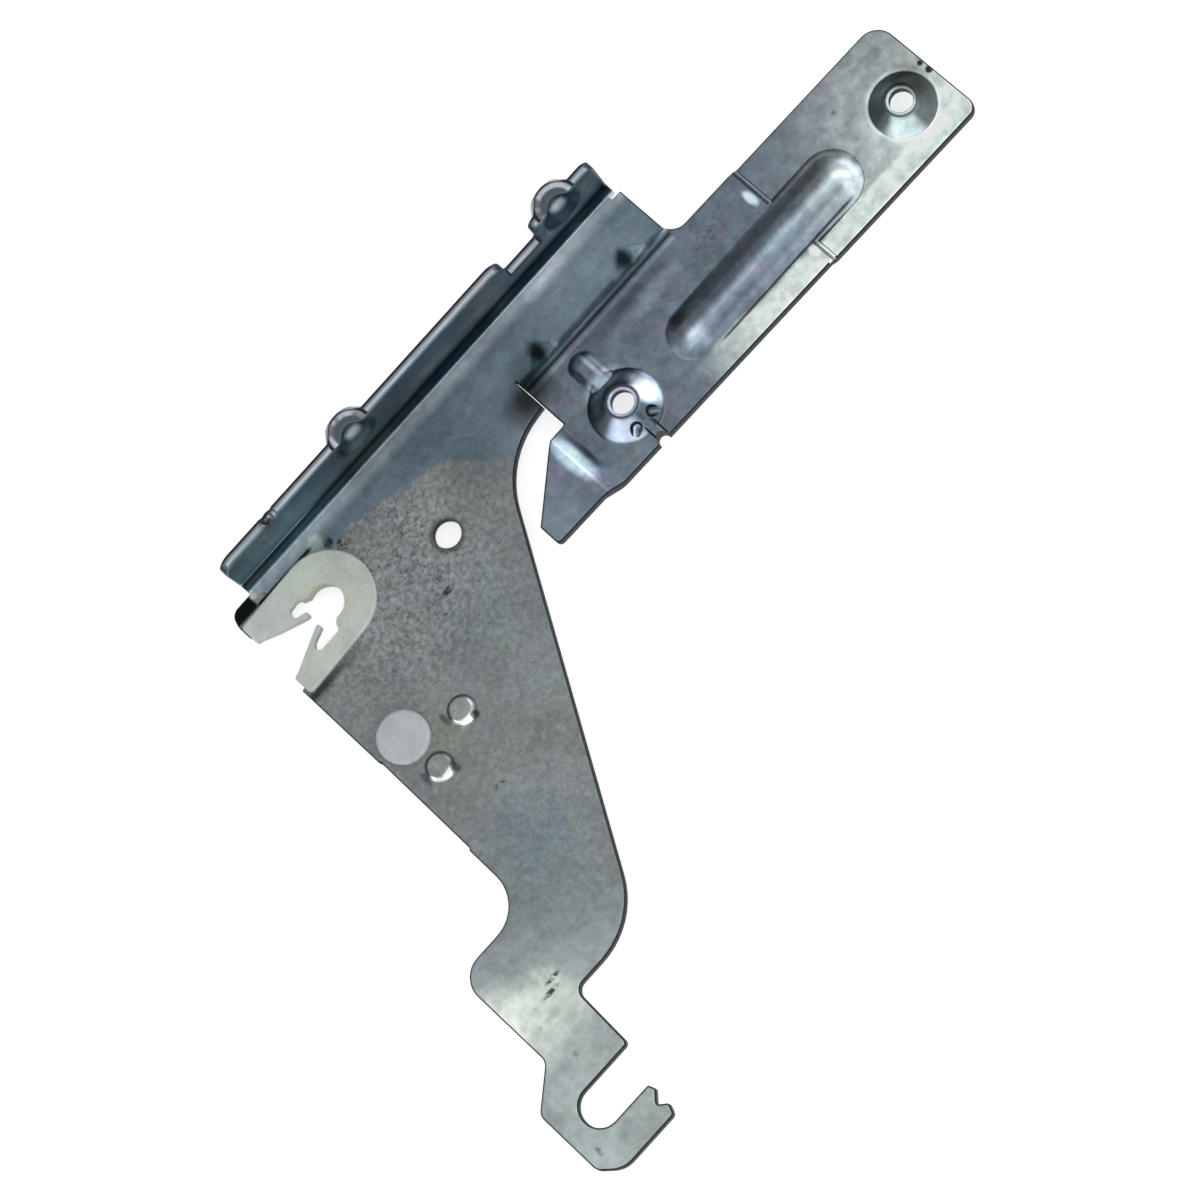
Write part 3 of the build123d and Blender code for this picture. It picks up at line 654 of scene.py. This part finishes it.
    def bosses(self, shade):
        """Painted light on the pressed forms: bright crescents on the pips, and bright collars, dark outlines
        and wedges of light on the bracket's bosses, with a pale halo round the end boss.
        """
        nodes = self.nodes
        for x, y in PIPS:
            ring, moved = self.near((x, y, 3.0), 2.5, 2.9), self.near((x - 0.2, y + 0.7, 3.0), 2.3, 2.8)
            crescent = nodes.times(nodes.most(nodes.minus(ring, moved), 0.0), self.on_top)
            shade = nodes.times(shade, nodes.band(crescent, 0.0, 0.8, 1.0, 2.0))
        for centre in ((*LOW_BOSS, 8.4), (*END_BOSS, 7.4)):
            collar = nodes.times(self.near(centre, 2.9, 3.2, DEEP), self.on_top)
            outline = nodes.times(self.near(centre, 3.4, 3.8, DEEP), self.on_top)
            shade = nodes.change(nodes.change(shade, collar, 1.9), nodes.minus(outline, collar), 0.35)
        halo = nodes.minus(self.near((*END_BOSS, END_TOP), 7.4, 8.2, THROUGH), self.on_end_boss)
        shade = nodes.change(shade, halo, 1.3)
        cone = nodes.times(nodes.band(self.rise, 0.97, 0.90), self.on_top)
        for centre, first, second, radius, gain in BOSSES:
            wedges = {"First": first, "Second": second, "Gain": gain}
            light = nodes.place(boss_group(), Vector=self.at, Centre=centre, Radius=radius, **wedges)
            shade = nodes.times(shade, nodes.blend(cone, 1.0, light))
        return shade

    def grime(self):
        """Specks, the marks of the list, pepper at the drop, a dark patch at the flange's corner and painted
        shadow along the bearing's upper and lower edges.
        """
        nodes, x, y = self.nodes, self.x, self.y
        pepper = self.near((109.5, -9.0, BRACKET_TOP), 4.0, 11.0, (1.0, 1.5, 0.3))
        marks = 0.0
        for centre, radius, stretch, strength in MARKS:
            marks = nodes.most(marks, self.near(centre, radius * MARK_CORE, radius, stretch, strength))
        # painted shadow along the bearing's upper and lower edges, and a dark patch at the sheet's corner
        # above the bearing
        corner = nodes.most(
            nodes.times(nodes.window(x, -17.0, -9.8, 0.3), nodes.window(y, 10.6, 15.0, 0.4)),
            nodes.times(nodes.window(x, -10.0, 6.0, 1.0), nodes.window(y, 10.3, 11.1, 0.25)),
            nodes.times(nodes.band(x, 2.0, -13.0), nodes.window(y, -12.4, -10.4, 0.8), 0.8),
        )
        return nodes.most(
            nodes.times(self.specks(0.50, 0.76), 0.6),
            nodes.times(self.specks(1.1, 0.64), self.grain, 0.6),
            nodes.times(self.specks(0.95, 0.57), pepper, 0.5),
            nodes.times(marks, self.crumbs),
            nodes.times(corner, nodes.band(self.z, 4.0, 3.0), self.on_top),
        )

    def shade_cut_edges(self, base):
        """Painted shade: near-black on the punched faces round the arm and bracket and on other steep faces;
        the steep faces of the pressed forms listed here keep their plating.
        """
        nodes, x, y = self.nodes, self.x, self.y
        on_step = nodes.times(nodes.window(y, -3.0, 1.6, 0.1), nodes.window(x, 59.2, 101.6, 0.1))
        lengthways = nodes.band(nodes.math("ABSOLUTE", self.facing[1]), 0.97, 0.90)
        sideways = nodes.band(nodes.math("ABSOLUTE", self.facing[0]), 0.75, 0.70)
        plated = nodes.most(
            nodes.times(nodes.most(on_step, nodes.window(x, 118.2, 119.8, 0.1)), lengthways),
            nodes.times(nodes.band(y, 13.8, 14.0), sideways),
            nodes.times(nodes.window(x, 66.0, 74.4, 0.1), nodes.window(y, -13.0, -3.0, 0.1)),
            *(self.near((*pip, 2.5), 3.4, 3.6, (1.0, 1.0, 0.5)) for pip in PIPS),
        )
        # painted shade on the steep faces that are left
        steep = nodes.band(self.rise, 0.745, 0.720)
        self.cut = nodes.times(steep, nodes.outside(plated), nodes.outside(self.in_hollow))
        return nodes.mix(self.cut, base, self.finish.edge_shade_colour)

    def flange_rim(self, base):
        """Painted highlight streaks along the flange's punched top, a dark outline of painted shade, painted
        highlights on the lips and middles of its bosses with painted shade inside and round them, and a dark
        nick.
        """
        nodes, finish, y, z = self.nodes, self.finish, self.y, self.z
        self.top_cut = nodes.times(
            nodes.band(y, 15.1, 15.4),
            nodes.band(z, 4.0, 5.0),
            nodes.band(self.facing[2], 0.82, 0.90),
            nodes.band(z, 6.0, 7.0),
            nodes.outside(self.in_hollow),
        )
        # painted highlight streaks along the flange's punched top
        streaks = nodes.noise(nodes.stretched(self.at, (0.12, 1.2, 1.0)), 1.0, 2.0)
        streaks = nodes.times(nodes.band(streaks, 0.30, 0.65, 0.55, 1.0), nodes.window(y, 16.0, 16.7, 0.5))
        base = nodes.mix(self.top_cut, base, nodes.mix(streaks, finish.rim_colour, finish.rim_highlight_colour))

        # painted shade: dark outline along the outer edge of the flange's top
        outline = nodes.times(nodes.window(y, 17.2, 17.9, 0.15), nodes.band(self.facing[2], 0.6, 0.9))
        patchy_highlight = nodes.band(nodes.noise(self.at, 0.36, 1.0), 0.38, 0.60, 0.22, 0.85)
        for middle in FLANGE_HOLES:
            centre, stretch = (middle, 15.9, FLANGE_TOP), (1.0, 1.05, 0.6)
            # painted highlights on each boss's lip and middle, painted shade inside and round it
            hollow = self.near(centre, 3.1, 3.7, stretch)
            lip = nodes.times(nodes.minus(self.near(centre, 4.2, 4.8, stretch), hollow), patchy_highlight)
            inside = self.near(centre, 5.2, 5.4, stretch)
            outline = nodes.times(outline, nodes.outside(inside))
            blob = self.near(centre, 0.3, 1.6, (0.7, 1.3, 0.6))
            shade_round_boss = nodes.times(inside, nodes.band(z, 12.0, 15.0), self.top_cut)
            base = nodes.mix(shade_round_boss, base, finish.edge_shade_colour)
            base = nodes.mix(nodes.times(hollow, self.top_cut), base, finish.hollow_shade_colour)
            base = nodes.mix(nodes.times(nodes.most(lip, blob), self.top_cut), base, finish.rim_highlight_colour)
        nicked = self.near((4.4, 16.6, FLANGE_TOP), 0.6, 2.4, DEEP)
        outline = nodes.most(outline, nodes.times(nicked, self.crumbs))
        return nodes.mix(outline, base, finish.edge_shade_colour)

    def sheen(self):
        """Roughness and metal: the spray is duller than the plating, and dirt, painted shadow, the punched
        edges in painted shade, the flange's top and the bosses' hollows duller still.
        """
        nodes, finish = self.nodes, self.finish
        rough = nodes.band(self.film, 0.0, 1.0, finish.plating_roughness, finish.film_roughness)
        rough = nodes.plus(rough, nodes.times(nodes.minus(self.mottle, 0.5), 0.22))
        bare = nodes.times(nodes.most(self.dirt, self.cut, self.top_cut, self.in_hollow), 0.25)
        metal = nodes.minus(0.95, nodes.times(self.film, 0.45))
        nodes.put(self.shader.inputs["Roughness"], nodes.math("ADD", rough, bare, True))
        nodes.put(self.shader.inputs["Metallic"], nodes.math("MAXIMUM", metal, self.dirt, True))

    def relief(self):
        """Fine relief of plating, spray and scratches, with the sheet's edges softened."""
        nodes = self.nodes
        lumps = nodes.noise(self.at, 1.1, 3.0, 0.6)
        lumps = nodes.times(lumps, nodes.band(self.grain, 0.0, 1.0, 0.10, 0.70))
        height = nodes.plus(nodes.times(self.mottle, 0.30), lumps)
        height = nodes.minus(height, nodes.times(self.scratches, 0.4))
        edges = nodes.add("ShaderNodeBevel", {"Radius": 0.5 * MM}, samples=4).outputs[0]
        values = {"Strength": 0.35, "Distance": 0.22 * MM, "Height": height, "Normal": edges}
        nodes.put(self.shader.inputs["Normal"], nodes.add("ShaderNodeBump", values).outputs[0])


def nylon_material(name, colour, finish, end_colour=None, grease=0.0):
    """Moulded nylon: cloudy colour, faint grease in its corners and a fine moulded grain."""
    made, nodes, shader, where = material(name)
    at = nodes.millimetres(where)
    x, y, _ = nodes.split(at)
    mottle = nodes.place(mottle_group(), Vector=at, Broad=0.18, Fine=1.0)
    base = colour
    if end_colour is not None:
        end = nodes.times(nodes.band(x, -2.0, -12.0), nodes.band(y, -2.0, 3.0), 0.6)
        base = nodes.mix(end, base, end_colour)
    if grease > 0.0:
        ring = nodes.near(at, (0.0, 0.0, 0.0), 4.0, 6.6, (1.0, 1.0, 0.1))
        stain = nodes.times(ring, nodes.band(nodes.noise(at, 0.26, 3.0), 0.40, 0.62), grease)
        base = nodes.mix(stain, base, finish.grease_colour)
    # darker towards the plus X side of the part
    shade = nodes.times(nodes.band(mottle, 0.32, 0.68, 0.86, 1.12), nodes.band(x, 0.0, 10.5, 1.0, 0.88))
    base = nodes.shaded(base, shade)
    specks = nodes.place(speck_group(), Vector=at, Scale=0.7, Level=0.78)
    nodes.put(shader.inputs["Base Color"], nodes.mix(nodes.times(specks, 0.35), base, finish.speck_colour))
    smooth, dull = finish.nylon_roughness - 0.08, finish.nylon_roughness + 0.10
    nodes.put(shader.inputs["Roughness"], nodes.band(mottle, 0.2, 0.8, smooth, dull))
    shader.inputs["Subsurface Weight"].default_value = 0.25
    shader.inputs["Subsurface Radius"].default_value = (0.9 * MM, 0.9 * MM, 0.8 * MM)
    shader.inputs["Subsurface Scale"].default_value = 1.0
    height = nodes.plus(mottle, nodes.times(nodes.noise(at, 2.6, 1.0), 0.3))
    bump = nodes.add("ShaderNodeBump", {"Strength": 0.22, "Distance": 0.2 * MM, "Height": height})
    nodes.put(shader.inputs["Normal"], bump.outputs[0])
    return made


def dress(name, made):
    """Give a CAD piece its finished material in every slot."""
    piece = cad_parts.get(name)
    if piece is None:
        raise RuntimeError(f"the part has no piece named {name}")
    piece.data.materials.clear()
    piece.data.materials.append(made)


class HINGE_OT_dress_arm(Operator):
    """Finish the pressed steel arm in used zinc plating, with painted light and shade"""

    bl_idname = "hinge.dress_arm"
    bl_label = "Finish Steel Arm"

    def execute(self, context):
        dress("hinge_arm", ZincSheet(context.scene.hinge_steel).material)
        return {"FINISHED"}


class HINGE_OT_dress_bearing(Operator):
    """Finish the snapped-in pivot bearing in greenish white nylon"""

    bl_idname = "hinge.dress_bearing"
    bl_label = "Finish Pivot Bearing"

    def execute(self, context):
        finish = context.scene.hinge_nylon
        made = nylon_material("Bearing Nylon", finish.bearing_colour, finish, finish.lilac_colour, 0.5)
        dress("pivot_bearing", made)
        return {"FINISHED"}


class HINGE_OT_dress_plug(Operator):
    """Finish the buffer plug in light grey-white nylon"""

    bl_idname = "hinge.dress_plug"
    bl_label = "Finish Buffer Plug"

    def execute(self, context):
        finish = context.scene.hinge_nylon
        dress("buffer_plug", nylon_material("Plug Nylon", finish.plug_colour, finish))
        return {"FINISHED"}


# Studio sizes in metres: the floor and its gap under the part, the key lamp, and what the camera looks at
FLOOR_SIZE, FLOOR_GAP = 3.0, 0.5 * MM
KEY_SIZE, KEY_PLACE = (0.5, 0.5), (0.45, -0.55, 0.70)
CAMERA_TARGET, CAMERA_SENSOR, CAMERA_CLIP = Vector((37.564, -41.892, 0.0)) * MM, 36.0, (0.01, 20.0)
# How much light the floor adds where the camera or a reflection sees it
FLOOR_GLOW = 0.72


def floor_material(colour):
    """White to the camera and in reflections, plain pale paint to the light."""
    made, nodes, shader, _ = material("Studio Floor")
    nodes.put(shader.inputs["Base Color"], colour)
    shader.inputs["Roughness"].default_value = 0.9
    path = nodes.add("ShaderNodeLightPath").outputs
    seen = nodes.most(path["Is Camera Ray"], path["Is Glossy Ray"], path["Is Transmission Ray"])
    nodes.put(shader.inputs["Emission Color"], WHITE)
    nodes.put(shader.inputs["Emission Strength"], nodes.times(seen, FLOOR_GLOW))
    return made


def studio_world(studio):
    """Soft light all round: an even fill, an overhead soft box and a low ring; white to the camera."""
    world = bpy.data.worlds.new("Studio")
    world.use_nodes = True
    nodes = Nodes(world.node_tree)
    _, ahead, up = nodes.split(nodes.add("ShaderNodeTexCoord").outputs["Generated"])
    fill = nodes.times(nodes.band(ahead, 0.40, 0.75, 1.0, 0.55), studio.fill)
    box = nodes.times(nodes.window(ahead, -0.18, 0.20, 0.08), nodes.band(up, 0.55, 0.80), studio.overhead)
    ring = nodes.times(
        nodes.band(up, 0.58, 0.40),
        nodes.band(ahead, 0.60, 0.35),
        nodes.band(up, 0.10, 0.34, 0.12, 1.0),
        studio.surround,
    )
    path = nodes.add("ShaderNodeLightPath").outputs
    strength = nodes.most(nodes.plus(fill, box, ring), path["Is Camera Ray"])
    background = nodes.add("ShaderNodeBackground", {"Color": WHITE, "Strength": strength})
    nodes.add("ShaderNodeOutputWorld", {"Surface": background.outputs[0]})
    return world


def soft_lamp(name, size, power, at, towards):
    """A rectangular soft lamp that points at a place."""
    data = bpy.data.lights.new(name, "AREA")
    data.shape = "RECTANGLE"
    data.size, data.size_y = size
    data.energy = power
    lamp = bpy.data.objects.new(name, data)
    lamp.location = at
    lamp.rotation_mode = "QUATERNION"
    lamp.rotation_quaternion = (Vector(towards) - Vector(at)).to_track_quat("-Z", "Y")
    return lamp


def photo_camera(studio):
    """A camera at the photo's angle: tilted from straight down, with the part turned in the picture."""
    tilt, turn = studio.camera_tilt, studio.camera_turn
    back = Vector((0.0, -math.sin(tilt), math.cos(tilt)))
    along, across = Vector((1.0, 0.0, 0.0)), Vector((0.0, math.cos(tilt), math.sin(tilt)))
    right = along * math.cos(turn) - across * math.sin(turn)
    up = along * math.sin(turn) + across * math.cos(turn)
    data = bpy.data.cameras.new("photo_camera")
    data.lens, data.sensor_width, data.sensor_height = studio.camera_lens, CAMERA_SENSOR, CAMERA_SENSOR
    data.clip_start, data.clip_end = CAMERA_CLIP
    camera = bpy.data.objects.new("photo_camera", data)
    facing = Matrix((right, up, back)).transposed().to_4x4()
    camera.matrix_world = Matrix.Translation(CAMERA_TARGET + back * studio.camera_distance) @ facing
    return camera


class HINGE_OT_build_studio(Operator):
    """Lay the pale floor, hang the soft lamp and set the camera at the photo's angle"""

    bl_idname = "hinge.build_studio"
    bl_label = "Build Studio"

    def execute(self, context):
        scene, studio = context.scene, context.scene.hinge_studio
        low, high = CAD_BOX
        middle = (low + high) / 2

        bpy.ops.object.select_all(action="DESELECT")
        bpy.ops.mesh.primitive_plane_add(size=FLOOR_SIZE, location=(middle.x, middle.y, low.z - FLOOR_GAP))
        floor = context.active_object
        floor.name = "studio_floor"
        bpy.ops.object.transform_apply(location=True, rotation=True, scale=True)
        floor.data.materials.append(floor_material(studio.floor_colour))

        scene.world = studio_world(studio)
        lamp = soft_lamp("key_lamp", KEY_SIZE, studio.key_power, KEY_PLACE, (middle.x, middle.y, 0.0))
        camera = photo_camera(studio)
        for made in (lamp, camera):
            scene.collection.objects.link(made)
        scene.camera = camera
        scene.view_settings.view_transform = "Standard"
        return {"FINISHED"}


class HINGE_PT_sidebar(Panel):
    """Steps of the door hinge, in order"""

    bl_idname = "HINGE_PT_sidebar"
    bl_label = "Door Hinge"
    bl_space_type = "VIEW_3D"
    bl_region_type = "UI"
    bl_category = "Door Hinge"

    def draw(self, context):
        for step in STEPS:
            self.layout.operator(step.bl_idname)
        for name in SETTINGS:
            values = getattr(context.scene, name)
            box = self.layout.box()
            for label in values.__annotations__:
                box.prop(values, label)


STEPS = (HINGE_OT_dress_arm, HINGE_OT_dress_bearing, HINGE_OT_dress_plug, HINGE_OT_build_studio)
SETTINGS = {"hinge_steel": SteelFinish, "hinge_nylon": NylonFinish, "hinge_studio": StudioSetup}
CLASSES = (*SETTINGS.values(), *STEPS, HINGE_PT_sidebar)


def register():
    """Register the classes and hang their values on the scene."""
    for made in CLASSES:
        bpy.utils.register_class(made)
    for name, kind in SETTINGS.items():
        setattr(bpy.types.Scene, name, PointerProperty(type=kind))


def unregister():
    """Take everything off again."""
    for name in SETTINGS:
        delattr(bpy.types.Scene, name)
    for made in reversed(CLASSES):
        bpy.utils.unregister_class(made)


def main():
    """Register the add-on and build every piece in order."""
    register()
    bpy.ops.hinge.dress_arm()
    bpy.ops.hinge.dress_bearing()
    bpy.ops.hinge.dress_plug()
    bpy.ops.hinge.build_studio()


if __name__ == "__main__":
    main()
